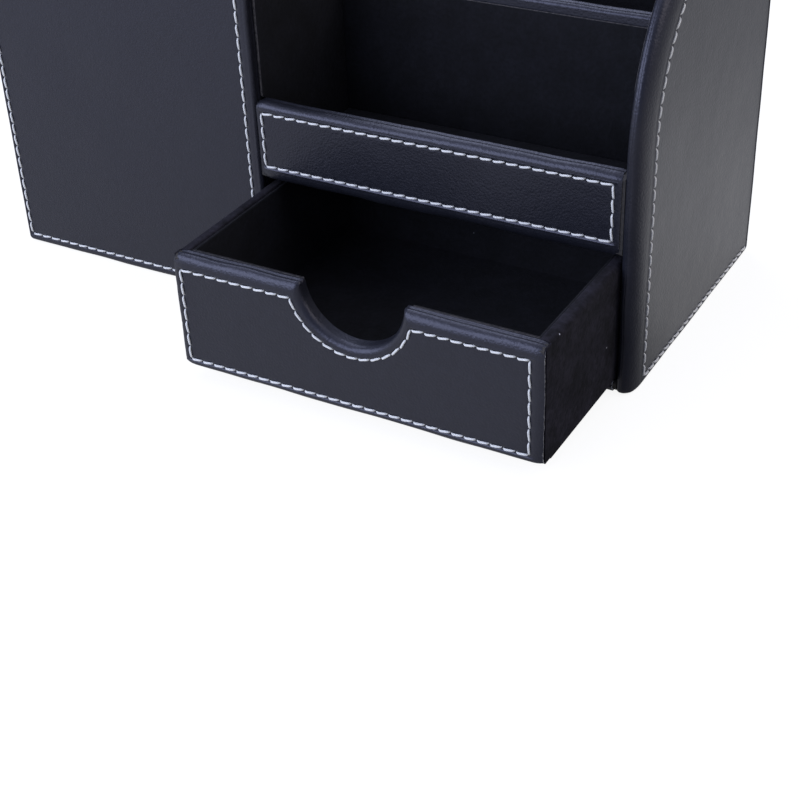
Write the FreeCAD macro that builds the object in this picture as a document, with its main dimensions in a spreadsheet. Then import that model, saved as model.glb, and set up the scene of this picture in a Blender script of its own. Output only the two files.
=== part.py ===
"""Desk pen stand with a drawer, as an assembly of wrapped boards.

A pen tower stands on the left. On the right an open bay with a low lip lies above one drawer, and a
letter slot lies behind the bay. Every panel is a fibreboard core in a stitched leather cover that
rolls over the edges, and velvet-faced cards cover the insides.

Millimetres. +X is to the right, +Y to the back, +Z up. The origin is the centre of the underside.
The drawer stands open by drawer_opening.
"""

import FreeCAD, Part

import math
import os
import re
import Sketcher

SIZES = {
    "case_width": 235.0,
    "case_depth": 105.0,
    "case_height": 140.0,
    "board": 4.0,  # fibreboard of the case
    "thin_board": 3.0,  # fibreboard of the base, the bay floor and the drawer box
    "leather": 0.6,
    "card": 1.0,  # velvet-faced card inside the compartments
    "cloth": 0.6,  # velvet cloth outside the drawer and under it
    "felt": 0.5,  # sheet under the whole case
    "felt_inset": 4.0,
    "roll_radius": 2.2,  # outside of the leather where it turns round an edge
    "least_flat": 0.25,  # between an edge's roll and the middle of a thin panel
    "turn_in": 12.0,  # width of leather glued down behind an edge
    "reveal": 3.3,  # leather left showing between an edge and the card
    "side_reveal": 6.3,  # the same behind the straight front of the right side
    "side_curve": 62.0,  # radius of the right side's upper front corner
    "tower_width": 106.0,
    "tower_divider_drop": 12.0,
    "lip_height": 26.6,
    "drawer_bay_height": 41.8,
    "divider_setback": 52.7,  # from the case's front to the bay divider
    "divider_height": 49.0,  # above the bay floor board
    "card_corner": 1.5,  # rounded corner of the card above the lip
    "drawer_side_gap": 0.6,
    "drawer_under_gap": 0.3,
    "drawer_over_gap": 2.2,
    "drawer_back_gap": 1.5,
    "drawer_opening": 50.0,
    "notch_radius": 17.4,
    "notch_lift": 1.2,  # the notch's centre above the front's upper edge
    "notch_margin": 0.8,  # the liner stays this far outside the notch
    "rim_radius": 1.2,  # outside of the velvet where it turns over a drawer side
    "liner_drop": 0.5,  # the liner's rim below the drawer's rim
}

# Planes and lengths worked out from the sizes. Each may use the ones above it. An eased board edge is
# a bevel that touches the inside of the rolled leather.
DERIVED = {
    "wrapped": "board + 2 * leather",
    "left": "-case_width / 2",
    "right": "case_width / 2",
    "front": "-case_depth / 2",
    "back": "case_depth / 2",
    "left_in": "left + wrapped",
    "right_in": "right - wrapped",
    "front_in": "front + wrapped",
    "back_in": "back - wrapped",
    "case_foot": "felt",
    "base_low": "case_foot + leather",
    "base_top": "base_low + thin_board",
    "card_top": "case_height - reveal",
    "tower_right": "left + tower_width",
    "wall_left": "tower_right - wrapped",
    "well_left": "left_in + card",
    "well_right": "wall_left - card",
    "tower_middle": "(front_in + back_in) / 2",
    "tower_divider_front": "tower_middle - wrapped / 2",
    "tower_divider_back": "tower_middle + wrapped / 2",
    "tower_divider_top": "case_height - tower_divider_drop",
    "lip_low": "base_top + leather + drawer_bay_height",
    "lip_top": "lip_low + lip_height",
    "floor_top": "lip_low + thin_board",
    "bay_left": "tower_right + card",
    "bay_right": "right_in - card",
    "divider_front": "front + divider_setback + card",
    "divider_back": "divider_front + wrapped",
    "divider_top": "floor_top + divider_height",
    "roll": "min(roll_radius; wrapped / 2 - least_flat)",
    "base_roll": "min(roll_radius; thin_board / 2 + leather - least_flat)",
    "ease": "(2 - sqrt(2)) * (roll - leather)",
    "base_ease": "(2 - sqrt(2)) * (base_roll - leather)",
    "drawer_left": "tower_right + drawer_side_gap",
    "drawer_right": "right_in - drawer_side_gap",
    "drawer_centre": "(drawer_left + drawer_right) / 2",
    "drawer_front": "front - drawer_opening",
    "drawer_front_in": "drawer_front + wrapped",
    "drawer_back": "back_in - drawer_back_gap - drawer_opening",
    "drawer_low": "base_top + max(leather; cloth) + drawer_under_gap",
    "drawer_top": "lip_low - drawer_over_gap",
    "notch_centre": "drawer_top + notch_lift",
    "front_core_low": "drawer_low + leather",
    "front_core_top": "drawer_top - leather",
    "box_left": "drawer_left + cloth",
    "box_right": "drawer_right - cloth",
    "box_low": "drawer_low + cloth",
    "box_back": "drawer_back - cloth",
    "liner_left": "box_left + thin_board",
    "liner_right": "box_right - thin_board",
    "liner_back": "box_back - thin_board",
    "liner_low": "box_low + thin_board",
    "liner_top": "drawer_top - liner_drop",
}
FUNCTIONS = {"min", "max", "sqrt"}
AXES = "xyz"
TOUCH = 1e-3  # two planes this close are the same

doc = FreeCAD.newDocument("pen_stand")
sheet = doc.addObject("Spreadsheet::Sheet", "sizes")
for row, (alias, value) in enumerate(SIZES.items(), start=1):
    sheet.set(f"A{row}", alias)
    sheet.set(f"B{row}", str(value))
    sheet.setAlias(f"B{row}", alias)
doc.recompute()

nodes = {}


def expression(text):
    """Text about sizes and derived planes, written out in the sheet's cells."""

    def write_out(match):
        word = match.group()
        if word in FUNCTIONS:
            return word
        if word in DERIVED:
            return f"({expression(DERIVED[word])})"
        return f"sizes.{word}"

    return re.sub(r"[a-z_]+", write_out, text)


def bind(feature, **properties):
    """Ties properties to the sheet; a double underscore in a name stands for a dot."""
    for name, text in properties.items():
        feature.setExpression(name.replace("__", "."), expression(text))


def keep(name, feature):
    """Makes the feature a sub-part of the model."""
    feature.Label = name
    nodes[name] = feature
    return feature


def fill(box, x, y, z):
    """Stretches a box between two planes on each axis."""
    for axis, size, (low, high) in zip(AXES, ("Length", "Width", "Height"), (x, y, z)):
        box.setExpression(f"Placement.Base.{axis}", expression(low))
        box.setExpression(size, expression(f"{high} - ({low})"))
    return box


def inset(span, amount):
    low, high = span
    return f"{low} + {amount}", f"{high} - {amount}"


def block(name, x, y, z):
    return fill(doc.addObject("Part::Box", name), x, y, z)


def runs_along(edge, axis):
    """True for a straight edge parallel to the axis."""
    box = edge.BoundBox
    lengths = zip(AXES, (box.XLength, box.YLength, box.ZLength))
    return edge.Curve.TypeId == "Part::GeomLine" and all(
        length < TOUCH for other, length in lengths if other != axis)


def roll_edges(body, picked, radius="roll"):
    """Rounds the edges of the body's tip for which picked(edge) is true, as leather turns round them."""
    bind(dress_edges("Fillet", body, picked), Radius=radius)
    return body


def ease_edges(body, picked, size="ease"):
    """Bevels the edges of the body's tip for which picked(edge) is true, as a board is sanded."""
    bind(dress_edges("Chamfer", body, picked), Size=size)
    return body


def dress_edges(kind, body, picked):
    doc.recompute()
    base = body.Tip
    names = [f"Edge{i}" for i, edge in enumerate(base.Shape.Edges, start=1) if picked(edge)]
    dressing = body.newObject(f"PartDesign::{kind}", f"{body.Name}_{kind}")
    dressing.Base = (base, names)
    return dressing


def box_body(name, x, y, z):
    body = doc.addObject("PartDesign::Body", name)
    fill(body.newObject("PartDesign::AdditiveBox", f"{name}_box"), x, y, z)
    return body


def along_any(axes):
    return lambda edge: any(runs_along(edge, axis) for axis in axes)


def along_top(body, axis):
    """Picks the body's highest edges that run along the axis."""
    doc.recompute()
    top = body.Shape.BoundBox.ZMax
    return lambda edge: runs_along(edge, axis) and edge.BoundBox.ZMin > top - TOUCH


def along_front(body):
    """Picks the body's foremost edges that run from left to right."""
    doc.recompute()
    front = body.Shape.BoundBox.YMin
    return lambda edge: runs_along(edge, "x") and edge.BoundBox.YMax < front + TOUCH


def cut(name, base, *tools):
    """What is left of the base when each tool has been taken away."""
    for number, tool in enumerate(tools):
        last = tool is tools[-1]
        taken = doc.addObject("Part::Cut", name if last else f"{name}_step_{number}")
        taken.Base, taken.Tool = base, tool
        base = taken
    return base


def wrapped_panel(name, x, y, z, thickness, inner_side, along, raw_ends=""):
    """A board and the leather cover that rolls round its edges and ends behind it.

    The spans are those of the finished panel. inner_side says whether the open back of the cover
    is on the low or the high side of the thickness axis, and at raw_ends board and leather end
    together.
    """
    spans = dict(zip(AXES, (x, y, z)))
    core = {axis: span if axis in raw_ends else inset(span, "leather") for axis, span in spans.items()}
    window = {axis: span if axis in raw_ends else inset(span, "turn_in") for axis, span in spans.items()}
    low, high = spans[thickness]
    window[thickness] = {"low": (low, f"{low} + leather"), "high": (f"{high} - leather", high)}[inner_side]
    core_body = ease_edges(box_body(f"{name}_board", *core.values()), along_any(along))
    blank = roll_edges(box_body(f"{name}_blank", *spans.values()), along_any(along))
    opening = block(f"{name}_window", *window.values())
    keep(f"{name}_board", core_body)
    keep(f"{name}_cover", cut(f"{name}_cover", blank, core_body, opening))


def capped_board(name, x, y, z, thickness, along):
    """A standing board with a leather strip folded over its top edge."""
    low, top = z
    spans = {"x": x, "y": y}
    core = {axis: inset(span, "leather") if axis == thickness else span for axis, span in spans.items()}
    core_z = (low, f"{top} - leather")
    core_body = box_body(f"{name}_board", *core.values(), core_z)
    ease_edges(core_body, along_top(core_body, along))
    cap = box_body(f"{name}_cap", *spans.values(), (f"{top} - turn_in", top))
    roll_edges(cap, along_top(cap, along))
    keep(f"{name}_board", core_body)
    keep(f"{name}_cover", cut(f"{name}_cover", cap, core_body))


def lining(name, x, y, z):
    return keep(name, block(name, x, y, z))


def side_outline(sketch, margin):
    """The right side seen from the side: straight front, round upper corner, level top."""
    start, end = 1, 2  # the ends of a line or an arc in a sketch
    origin = (-1, start)  # a sketch's own origin
    point = FreeCAD.Vector
    y0, y1 = -SIZES["case_depth"] / 2, SIZES["case_depth"] / 2
    z0, z1, radius = SIZES["felt"], SIZES["case_height"], SIZES["side_curve"]
    bottom = sketch.addGeometry(Part.LineSegment(point(y0, z0, 0), point(y1, z0, 0)))
    rear = sketch.addGeometry(Part.LineSegment(point(y1, z0, 0), point(y1, z1, 0)))
    top = sketch.addGeometry(Part.LineSegment(point(y1, z1, 0), point(y0 + radius, z1, 0)))
    circle = Part.Circle(point(y0 + radius, z1 - radius, 0), point(0, 0, 1), radius)
    corner = sketch.addGeometry(Part.ArcOfCircle(circle, math.pi / 2, math.pi))
    face = sketch.addGeometry(Part.LineSegment(point(y0, z1 - radius, 0), point(y0, z0, 0)))

    def constrain(*terms):
        return sketch.addConstraint(Sketcher.Constraint(*terms))

    constrain("Coincident", bottom, end, rear, start)
    constrain("Coincident", rear, end, top, start)
    constrain("Tangent", top, end, corner, start)
    constrain("Tangent", corner, end, face, start)
    constrain("Coincident", face, end, bottom, start)
    for line in (bottom, top):
        constrain("Horizontal", line)
    for line in (rear, face):
        constrain("Vertical", line)
    driven = {
        constrain("DistanceX", *origin, bottom, start, y0): f"front + {margin}",
        constrain("DistanceX", *origin, bottom, end, y1): f"back - {margin}",
        constrain("DistanceY", *origin, bottom, start, z0): f"case_foot + {margin}",
        constrain("DistanceY", *origin, top, start, z1): f"case_height - {margin}",
        constrain("Radius", corner, radius): f"side_curve - {margin}",
    }
    for index, text in driven.items():
        sketch.setExpression(f"Constraints[{index}]", expression(text))


def side_body(name, margin, x):
    """The right side's outline, drawn in by the margin and thick from one x plane to the other."""
    low, high = x
    body = doc.addObject("PartDesign::Body", name)
    side_plane = next(item for item in body.Origin.OriginFeatures if item.Role == "YZ_Plane")
    sketch = body.newObject("Sketcher::SketchObject", f"{name}_outline")
    sketch.AttachmentSupport = (side_plane, "")
    sketch.MapMode = "FlatFace"
    bind(sketch, AttachmentOffset__Base__z=low)
    side_outline(sketch, margin)
    pad = body.newObject("PartDesign::Pad", f"{name}_pad")
    pad.Profile = sketch
    bind(pad, Length=f"{high} - ({low})")
    return body


def round_face(edge):
    """Picks every edge of the side's two faces."""
    return not runs_along(edge, "x")


def along_front_and_notch(edge):
    """Picks the drawer front's long edges and those of its notch."""
    return runs_along(edge, "x") or edge.Curve.TypeId == "Part::GeomCircle"


FACING_BACK = FreeCAD.Rotation(FreeCAD.Vector(0, 0, 1), FreeCAD.Vector(0, 1, 0))


def place_notch(cylinder, low, high, radius):
    """Lays a cylinder through the drawer's front, from the plane low to the plane high."""
    cylinder.Placement = FreeCAD.Placement(FreeCAD.Vector(), FACING_BACK)
    bind(
        cylinder,
        Radius=radius,
        Height=f"{high} - ({low})",
        Placement__Base__x="drawer_centre",
        Placement__Base__y=low,
        Placement__Base__z="notch_centre",
    )


def notched_front(name, x, y, z, notch):
    """The drawer's front with the half-round finger notch."""
    body = box_body(name, x, y, z)
    cylinder = body.newObject("PartDesign::SubtractiveCylinder", f"{name}_notch")
    place_notch(cylinder, *y, notch)
    return body


def build_case_panels():
    """The outer panels, the lip and the floors."""
    wrapped_panel(
        "tower_front",
        ("left", "tower_right"), ("front", "front_in"), ("case_foot", "case_height"),
        thickness="y", inner_side="high", along="xz",
    )
    wrapped_panel(
        "left_side",
        ("left", "left_in"), ("front_in", "back"), ("case_foot", "case_height"),
        thickness="x", inner_side="high", along="yz",
    )
    wrapped_panel(
        "back",
        ("left_in", "right_in"), ("back_in", "back"), ("case_foot", "case_height"),
        thickness="y", inner_side="low", along="xz",
    )
    wrapped_panel(
        "lip",
        ("tower_right", "right_in"), ("front", "front_in"), ("lip_low", "lip_top"),
        thickness="y", inner_side="high", along="x", raw_ends="x",
    )
    core = side_body("right_side_board", "leather", ("right_in + leather", "right - leather"))
    keep("right_side_board", ease_edges(core, round_face))
    blank = roll_edges(side_body("right_side_blank", "0", ("right_in", "right")), round_face)
    window = side_body("right_side_window", "turn_in", ("right_in", "right_in + leather"))
    keep("right_side_cover", cut("right_side_cover", blank, core, window))


def build_base():
    """The base board, cut back where the tower's front stands, with its leather front edge."""
    base = box_body(
        "base_board", ("left_in", "right_in"), ("front + leather", "back_in"), ("base_low", "base_top"))
    corner = base.newObject("PartDesign::SubtractiveBox", "base_board_corner")
    fill(corner, ("left_in", "tower_right"), ("front + leather", "front_in"), ("base_low", "base_top"))
    keep("base_board", ease_edges(base, along_front(base), "base_ease"))
    blank = box_body(
        "base_edge_blank",
        ("tower_right", "right_in"), ("front", "front + turn_in"), ("case_foot", "base_top + leather"))
    roll_edges(blank, along_front(blank), "base_roll")
    keep("base_edge_cover", cut("base_edge_cover", blank, base))
    lining(
        "drawer_bay_cloth",
        ("tower_right", "right_in"), ("front + turn_in", "back_in"), ("base_top", "base_top + cloth"))
    lining(
        "under_felt",
        inset(("left", "right"), "felt_inset"), inset(("front", "back"), "felt_inset"), ("0", "felt"))


def build_inner_boards():
    """The tower's wall and divider, the bay's floor and divider."""
    capped_board(
        "tower_wall",
        ("wall_left", "tower_right"), ("front_in", "back_in"), ("base_top", "case_height"),
        thickness="x", along="y",
    )
    capped_board(
        "tower_divider",
        ("well_left", "well_right"), ("tower_divider_front", "tower_divider_back"),
        ("base_top", "tower_divider_top"),
        thickness="y", along="x",
    )
    keep("bay_floor_board", block(
        "bay_floor_board",
        ("tower_right - leather", "right_in"), ("front_in", "back_in"), ("lip_low", "floor_top")))
    capped_board(
        "bay_divider",
        ("bay_left", "bay_right"), ("divider_front", "divider_back"), ("floor_top", "divider_top"),
        thickness="y", along="x",
    )


def build_tower_linings():
    """Velvet-faced cards in the two pen wells."""
    height = ("base_top", "card_top")
    above_floor = ("base_top + card", "card_top")
    floor = ("base_top", "base_top + card")
    divider_height = ("base_top + card", "tower_divider_top - reveal")
    across = ("well_left", "well_right")
    lining("tower_left_lining", ("left_in", "well_left"), ("front_in", "back_in"), height)
    lining("tower_right_lining", ("well_right", "wall_left"), ("front_in", "back_in"), height)
    lining("tower_front_lining", across, ("front_in", "front_in + card"), above_floor)
    lining("tower_back_lining", across, ("back_in - card", "back_in"), above_floor)
    lining("front_well_floor_lining", across, ("front_in", "tower_divider_front"), floor)
    lining("rear_well_floor_lining", across, ("tower_divider_back", "back_in"), floor)
    lining(
        "tower_divider_front_lining",
        across, ("tower_divider_front - card", "tower_divider_front"), divider_height)
    lining(
        "tower_divider_back_lining",
        across, ("tower_divider_back", "tower_divider_back + card"), divider_height)


def build_bay_linings():
    """Velvet-faced cards in the bay and the letter slot."""
    across = ("bay_left", "bay_right")
    left_card = box_body(
        "bay_left_lining",
        ("tower_right", "bay_left"), ("front + reveal", "back_in"), ("floor_top", "card_top"))
    over_lip = left_card.newObject("PartDesign::SubtractiveBox", "bay_left_lining_over_lip")
    fill(over_lip, ("tower_right", "bay_left"), ("front + reveal", "front_in"), ("floor_top", "lip_top"))
    keep("bay_left_lining", roll_edges(left_card, along_front(left_card), "card_corner"))
    curved = side_body("bay_right_card", "reveal", ("bay_right", "right_in"))
    behind_edge = block(
        "bay_right_reach",
        ("bay_right", "right_in"), ("front + side_reveal", "back_in"), ("floor_top", "card_top"))
    right_card = doc.addObject("Part::Common", "bay_right_lining")
    right_card.Base, right_card.Tool = curved, behind_edge
    keep("bay_right_lining", right_card)
    lining("bay_floor_lining", across, ("front_in", "divider_front"), ("floor_top", "floor_top + card"))
    lining("slot_floor_lining", across, ("divider_back", "back_in"), ("floor_top", "floor_top + card"))
    lining(
        "bay_front_lining",
        across, ("front_in", "front_in + card"), ("floor_top + card", "lip_top - reveal"))
    lining("bay_back_lining", across, ("back_in - card", "back_in"), ("floor_top + card", "card_top"))
    divider_cards = ("floor_top + card", "divider_top - reveal")
    lining("bay_divider_front_lining", across, ("divider_front - card", "divider_front"), divider_cards)
    lining("bay_divider_back_lining", across, ("divider_back", "divider_back + card"), divider_cards)


def build_drawer_front():
    """The notched board and the leather that rolls over it. The leather's ends are left raw."""
    depth = ("drawer_front", "drawer_front_in")
    core_depth = inset(depth, "leather")
    core_height = ("front_core_low", "front_core_top")
    width = ("drawer_left", "drawer_right")
    core = notched_front("drawer_front_core", width, core_depth, core_height, "notch_radius + leather")
    ease_edges(core, along_front_and_notch)
    between_cloths = block("drawer_front_length", ("box_left", "box_right"), core_depth, core_height)
    board = doc.addObject("Part::Common", "drawer_front_board")
    board.Base, board.Tool = core, between_cloths
    keep("drawer_front_board", board)
    blank = notched_front("drawer_front_blank", width, depth, ("drawer_low", "drawer_top"), "notch_radius")
    roll_edges(blank, along_front_and_notch)
    window = block(
        "drawer_front_window", width, ("drawer_front_in - leather", "drawer_front_in"),
        ("drawer_low + reveal + leather", "notch_centre - notch_radius - reveal"))
    behind = ("drawer_front_in - roll", "drawer_front_in")
    left_end = block("drawer_front_left_end", ("drawer_left", "box_left"), behind, core_height)
    right_end = block("drawer_front_right_end", ("box_right", "drawer_right"), behind, core_height)
    keep("drawer_front_cover", cut("drawer_front_cover", blank, core, window, left_end, right_end))


def build_drawer_box():
    """The four plain boards behind the front."""
    height = ("box_low", "drawer_top - cloth")
    depth = ("drawer_front_in", "liner_back")
    for name, x, y, z in (
        ("drawer_left_board", ("box_left", "liner_left"), depth, height),
        ("drawer_right_board", ("liner_right", "box_right"), depth, height),
        ("drawer_back_board", ("box_left", "box_right"), ("liner_back", "box_back"), height),
        ("drawer_bottom_board", ("liner_left", "liner_right"), depth, ("box_low", "liner_low")),
    ):
        keep(name, block(name, x, y, z))


def side_cloth(name, outer, rim, outwards):
    """Velvet over a drawer side: the end of the front board, the outer face and the rolled rim."""
    end_depth = ("drawer_front + leather", "drawer_front_in")
    body = box_body(name, outer, end_depth, ("front_core_low", "front_core_top"))
    ease_edges(body, along_front(body))
    length = ("drawer_front_in", "drawer_back")
    sheet = body.newObject("PartDesign::AdditiveBox", f"{name}_outside")
    fill(sheet, outer, length, ("box_low", "drawer_top"))
    over = body.newObject("PartDesign::AdditiveBox", f"{name}_rim")
    fill(over, rim, length, ("drawer_top - cloth", "drawer_top"))
    on_top = along_top(body, "y")
    rim_edges = [edge for edge in body.Shape.Edges if on_top(edge)]
    outer_plane = max(outwards * edge.BoundBox.XMin for edge in rim_edges)

    def outer_rim(edge):
        return on_top(edge) and outwards * edge.BoundBox.XMin > outer_plane - TOUCH

    keep(name, roll_edges(body, outer_rim, "rim_radius"))


def build_drawer_cloth():
    """Velvet cloth outside the drawer and the velvet liner in it."""
    side_cloth("drawer_left_cloth", ("drawer_left", "box_left"), ("drawer_left", "liner_left"), -1)
    side_cloth("drawer_right_cloth", ("box_right", "drawer_right"), ("liner_right", "drawer_right"), 1)
    back_cloth = box_body(
        "drawer_back_cloth", ("box_left", "box_right"), ("box_back", "drawer_back"),
        ("box_low", "drawer_top - cloth"))
    rim = back_cloth.newObject("PartDesign::AdditiveBox", "drawer_back_cloth_rim")
    rim_height = ("drawer_top - cloth", "drawer_top")
    fill(rim, ("liner_left", "liner_right"), ("liner_back", "drawer_back"), rim_height)
    keep("drawer_back_cloth", back_cloth)
    lining(
        "drawer_under_cloth",
        ("drawer_left", "drawer_right"), ("drawer_front_in", "drawer_back"), ("drawer_low", "box_low"))
    shell = block(
        "drawer_liner_outside",
        ("liner_left", "liner_right"), ("drawer_front_in", "liner_back"), ("liner_low", "liner_top"))
    hollow = block(
        "drawer_liner_inside",
        inset(("liner_left", "liner_right"), "card"), inset(("drawer_front_in", "liner_back"), "card"),
        ("liner_low + card", "liner_top"))
    notch = doc.addObject("Part::Cylinder", "drawer_liner_notch")
    place_notch(notch, "drawer_front_in", "drawer_front_in + card", "notch_radius + notch_margin")
    keep("drawer_liner", cut("drawer_liner", shell, hollow, notch))


def check(document):
    """Stops on any object that failed to build and on any sub-part that isn't one sound solid."""
    for item in document.Objects:
        failed = {"Invalid", "Error"} & set(item.State)
        if failed:
            raise RuntimeError(f"{item.Name} is {failed}")
    for name, feature in nodes.items():
        shape = feature.Shape
        if shape.isNull() or not shape.isValid() or len(shape.Solids) != 1:
            raise RuntimeError(f"{name} is not one sound solid")


build_case_panels()
build_base()
build_inner_boards()
build_tower_linings()
build_bay_linings()
build_drawer_front()
build_drawer_box()
build_drawer_cloth()
doc.recompute()
check(doc)

os.makedirs("parts", exist_ok=True)
for name, feature in nodes.items():
    feature.Shape.exportStep(f"parts/{name}.step")
    print(f"{name}: {feature.Shape.Volume:.0f} mm3")
print(f"{len(nodes)} sub-parts")
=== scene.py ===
# %% [markdown]
# # A pen stand with a drawer
# The real object is made of flat boards. Each board is wrapped in black imitation leather, which is
# sewn with white thread near the edges, and the insides are lined with velvet-faced card. The packed
# CAD model gives the place and size of every board, cover and card. This lesson gives them what the
# eye looks for: leather that rolls softly over an edge, a seam that sinks into it, thread that stands
# proud, and velvet-faced card with a pale cut edge.

# %% Load the frame
import math
from collections import namedtuple

import bmesh
import bpy
from mathutils import Matrix, Vector, noise


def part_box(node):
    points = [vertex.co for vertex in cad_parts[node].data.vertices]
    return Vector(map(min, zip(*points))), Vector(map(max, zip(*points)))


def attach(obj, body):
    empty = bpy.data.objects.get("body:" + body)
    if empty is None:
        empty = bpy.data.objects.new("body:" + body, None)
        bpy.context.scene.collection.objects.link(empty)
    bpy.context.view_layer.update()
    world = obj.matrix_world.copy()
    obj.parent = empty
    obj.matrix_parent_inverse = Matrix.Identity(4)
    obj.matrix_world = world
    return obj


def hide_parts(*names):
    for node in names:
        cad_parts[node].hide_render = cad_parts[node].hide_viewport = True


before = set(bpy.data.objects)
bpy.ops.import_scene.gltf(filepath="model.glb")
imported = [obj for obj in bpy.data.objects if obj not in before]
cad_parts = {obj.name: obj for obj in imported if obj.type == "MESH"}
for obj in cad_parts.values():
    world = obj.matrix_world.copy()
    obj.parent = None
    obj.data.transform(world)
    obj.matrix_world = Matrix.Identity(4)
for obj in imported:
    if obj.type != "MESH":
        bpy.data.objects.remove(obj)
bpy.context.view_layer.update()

MM = 0.001

# %% [markdown]
# ## A drawing board for each panel
# Every wrapped panel is easiest to think of as a flat drawing: x across it, y up it, and z out of it.
# A matrix then carries the drawing to where the CAD panel stands. The matrix comes from the CAD
# cover's own box, so no size is copied by hand.

# %% Panel places
Panel = namedtuple("Panel", "place width height thickness")
UP = Vector((0, 0, 1))


def panel(node, across, outwards, upwards=UP):
    """The drawing board of a CAD panel: where its corner is, which way it faces and how large it is."""
    low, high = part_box(node)
    turn = Matrix((Vector(across), Vector(upwards), Vector(outwards))).transposed()
    width, height, thickness = (abs(size) for size in turn.transposed() @ (high - low))
    corner = (low + high) / 2 + turn @ Vector((-width / 2, -height / 2, thickness / 2))
    return Panel(Matrix.Translation(corner) @ turn.to_4x4(), width, height, thickness)


panels = {
    "tower_front": panel("tower_front_cover", (1, 0, 0), (0, -1, 0)),
    "left_side": panel("left_side_cover", (0, -1, 0), (-1, 0, 0)),
    "right_side": panel("right_side_cover", (0, 1, 0), (1, 0, 0)),
    "back": panel("back_cover", (-1, 0, 0), (0, 1, 0)),
    "lip": panel("lip_cover", (1, 0, 0), (0, -1, 0)),
    "drawer_front": panel("drawer_front_cover", (1, 0, 0), (0, -1, 0)),
    "drawer_left": panel("drawer_left_cloth", (0, -1, 0), (-1, 0, 0)),
    "drawer_right": panel("drawer_right_cloth", (0, 1, 0), (1, 0, 0)),
    "tower_wall": panel("tower_wall_cover", (0, 1, 0), (1, 0, 0)),
    "tower_divider": panel("tower_divider_cover", (1, 0, 0), (0, -1, 0)),
    "bay_divider": panel("bay_divider_cover", (1, 0, 0), (0, -1, 0)),
    "base_edge": panel("base_edge_cover", (-1, 0, 0), (0, 0, 1), upwards=(0, -1, 0)),
}
for name, board in panels.items():
    print(f"{name}: {board.width / MM:.1f} x {board.height / MM:.1f} x {board.thickness / MM:.1f} mm")

# %% [markdown]
# ## Outlines that know their stitches
# A cover is built from rings, each a little further in than the last. All rings of one panel need the
# same number of points, so that they join without a twist, and the points have to fall where the
# needle went in. So an outline is a list of runs, straight or round, and each sewn run is cut into a
# whole number of stitches.

# %% Outlines
PITCH = 4.2 * MM
PER_STITCH = 4  # points along the leather for each stitch
CORNER_STEPS = 5
LEAST_RADIUS = 0.25 * MM
Run = namedtuple("Run", "name end centre sweep pieces sewn")
QUARTER = math.pi / 2


def pieces_of(length):
    """Into how many pieces a run of this length is cut: a whole number of stitches."""
    return max(1, round(length / PITCH)) * PER_STITCH


def walk(runs):
    """Points along a closed outline of runs. The outline starts where its last run ends."""
    points, here = [], Vector(runs[-1].end)
    for run in runs:
        end = Vector(run.end)
        for step in range(run.pieces):
            share = step / run.pieces
            if run.centre is None:
                points.append(here.lerp(end, share))
            else:
                centre = Vector(run.centre)
                points.append(centre + Matrix.Rotation(run.sweep * share, 2) @ (here - centre))
        here = end
    return points


LIFT_SHARE = 0.55  # what is left of the thread's pull midway between two holes


def pull(runs):
    """How hard the thread pulls the leather down at each point: 1 at a hole, 0 where nothing is sewn."""
    hold = []
    for run in runs:
        for step in range(run.pieces):
            wave = 0.5 + 0.5 * math.cos(2 * math.pi * step / PER_STITCH)
            hold.append(LIFT_SHARE + (1 - LIFT_SHARE) * wave if run.sewn else 0.0)
    return hold


# %% Outline of a plain panel
Margins = namedtuple("Margins", "left bottom right top notch", defaults=(0.0,))


def even(margin):
    """The same margin on every side."""
    return Margins(*[margin] * 5)


def mixed(first, second, share):
    """Margins part of the way from the first to the second."""
    return Margins(*(a + (b - a) * share for a, b in zip(first, second)))


def grown(margins, amount):
    """The margins, each larger by the same amount."""
    return Margins(*(margin + amount for margin in margins))


def rounded_outline(board, seam, radii, unsewn=(), corner_steps=CORNER_STEPS):
    """Returns a function that draws the panel's outline at any margins.

    radii are those of the bottom left, bottom right, top right and top left corners.
    """
    counts = {}

    def draw(margins):
        left, right = margins.left, board.width - margins.right
        bottom, top = margins.bottom, board.height - margins.top
        near = ((margins.left, margins.bottom), (margins.right, margins.bottom),
                (margins.right, margins.top), (margins.left, margins.top))
        bl, br, tr, tl = (max(radius - sum(pair) / 2, LEAST_RADIUS) if radius else 0.0
                          for radius, pair in zip(radii, near))
        stops = (
            ("bottom", (right - br, bottom), None, 0),
            ("bottom_right", (right, bottom + br), (right - br, bottom + br), QUARTER),
            ("right", (right, top - tr), None, 0),
            ("top_right", (right - tr, top), (right - tr, top - tr), QUARTER),
            ("top", (left + tl, top), None, 0),
            ("top_left", (left, top - tl), (left + tl, top - tl), QUARTER),
            ("left", (left, bottom + bl), None, 0),
            ("bottom_left", (left + bl, bottom), (left + bl, bottom + bl), QUARTER),
        )
        if not counts:
            counts.update(count_pieces(stops, unsewn, corner_steps))
        return [Run(*stop, *counts[stop[0]]) for stop in stops]

    draw(seam)
    return draw


def count_pieces(stops, unsewn, corner_steps):
    """For each run: into how many pieces it is cut, and whether it is sewn."""
    counts, here = {}, Vector(stops[-1][1])
    for name, end, centre, sweep in stops:
        end = Vector(end)
        length = (end - here).length
        if centre is not None:
            length = (here - Vector(centre)).length * abs(sweep)
        small = centre is not None and length < PITCH
        pieces = corner_steps if small else pieces_of(length)
        counts[name] = (pieces, name not in unsewn)
        here = end
    return counts


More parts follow.
